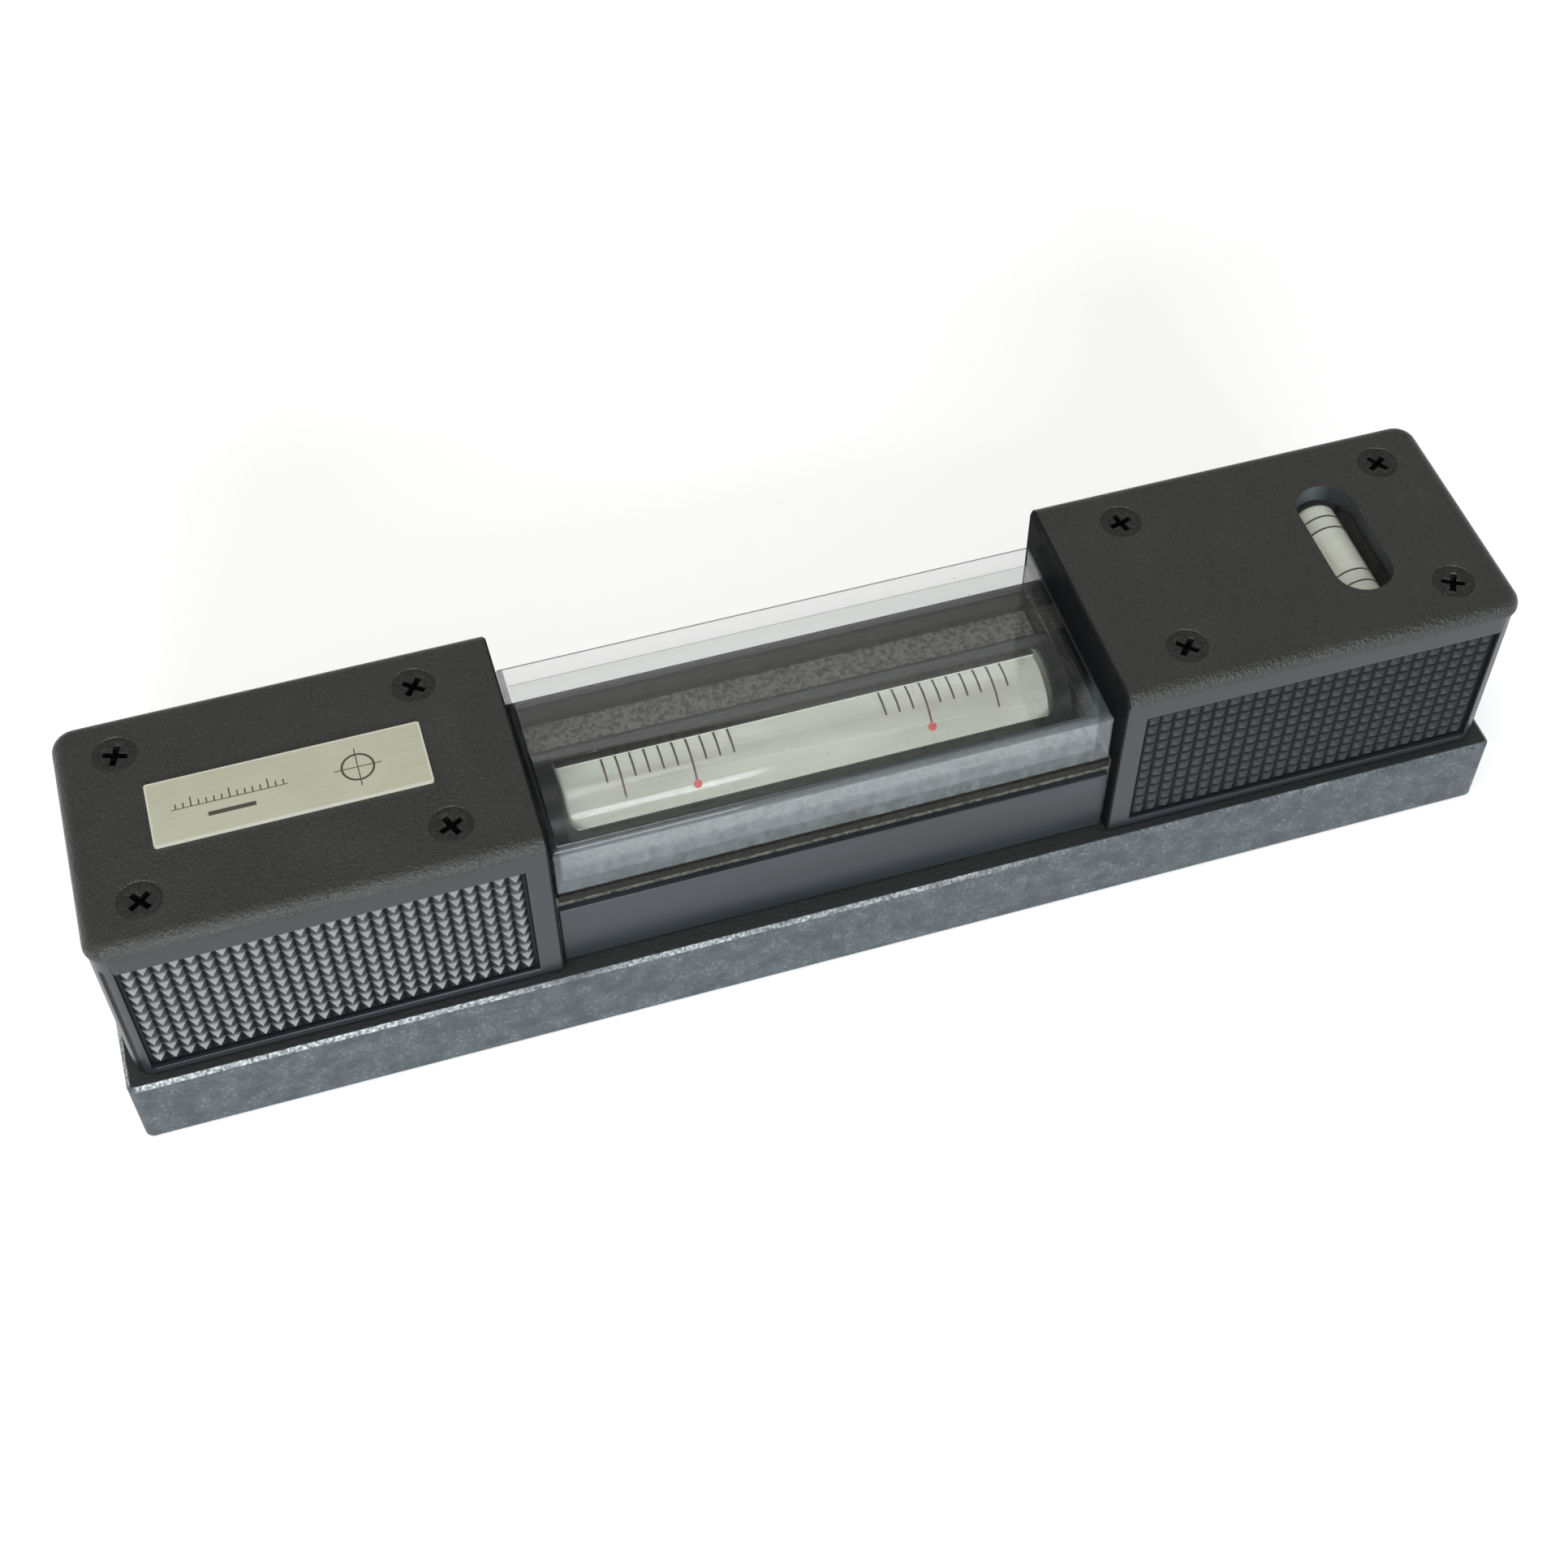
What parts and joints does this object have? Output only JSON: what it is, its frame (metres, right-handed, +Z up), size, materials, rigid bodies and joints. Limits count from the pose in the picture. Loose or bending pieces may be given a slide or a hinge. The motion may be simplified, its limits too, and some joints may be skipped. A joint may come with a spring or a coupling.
{
  "type": "precision machinist level",
  "caption": "Long precision bench level: cast V-groove base, main vial in a tube under a clear cover, two moulded grips, a cross vial under a window in one of them.",
  "frame": {"origin": "middle of the underside of the base", "axes": "+X along the level towards the grip with the cross vial's window, +Y away from the side that the vial's window is tilted to, +Z up"},
  "size_m": [0.2, 0.0406, 0.043],
  "materials": {
    "cast_iron": "rough speckled grey casting paint, ground underside",
    "grip_plastic": "fine grained matt black moulding",
    "plate_metal": "pale anodised plate, bare",
    "clear_acrylic": "clear polished moulding",
    "gasket_rubber": "dark brown seal",
    "slate_plastic": "smooth slate grey",
    "tube_black": "glossy black",
    "white_enamel": "white enamel",
    "vial_glass": "clear ground glass",
    "vial_spirit": "clear spirit",
    "turned_steel": "turned bright steel",
    "black_screws": "black oxide",
    "holder_plastic": "black moulding"
  },
  "bodies": {
    "level_body": {"cast_body": "cast_iron", "cover_gasket": "gasket_rubber", "cross_vial_glass": "vial_glass", "cross_vial_holder": "holder_plastic", "cross_vial_liquid": "vial_spirit", "cross_vial_reflector": "white_enamel", "front_side_panel": "slate_plastic", "left_grip_cap": "grip_plastic", "left_grip_inner_front_screw": "black_screws", "left_grip_inner_rear_screw": "black_screws", "left_grip_outer_front_screw": "black_screws", "left_grip_outer_rear_screw": "black_screws", "name_plate": "plate_metal", "pivot_pin": "turned_steel", "rear_side_panel": "slate_plastic", "retaining_ring": "turned_steel", "right_grip_cap": "grip_plastic", "right_grip_inner_front_screw": "black_screws", "right_grip_inner_rear_screw": "black_screws", "right_grip_outer_front_screw": "black_screws", "right_grip_outer_rear_screw": "black_screws", "vial_cover": "clear_acrylic"},
    "vial_assembly": {"vial_tube": "tube_black", "main_vial_reflector": "white_enamel", "main_vial_glass": "vial_glass", "main_vial_liquid": "vial_spirit", "pivot_end_plug": "turned_steel", "adjusting_end_plug": "turned_steel"},
    "adjusting_screw": {"adjusting_screw": "turned_steel"}
  },
  "joints": [
    {"name": "adjusting_screw_turn", "type": "hinge", "parent": "level_body", "child": "adjusting_screw", "pos_m": [0.05, 0, 0.0238], "axis": [0, 0, 1], "range_deg": [-270, 270]},
    {"name": "vial_tilt", "type": "hinge", "parent": "level_body", "child": "vial_assembly", "pos_m": [-0.048, 0, 0.0238], "axis": [0, 1, 0], "range_deg": [-0.2192, 0.2192]}
  ],
  "couplings": [
    {"joint": "adjusting_screw_turn", "follows": "vial_tilt", "ratio": 1231.5}
  ]
}
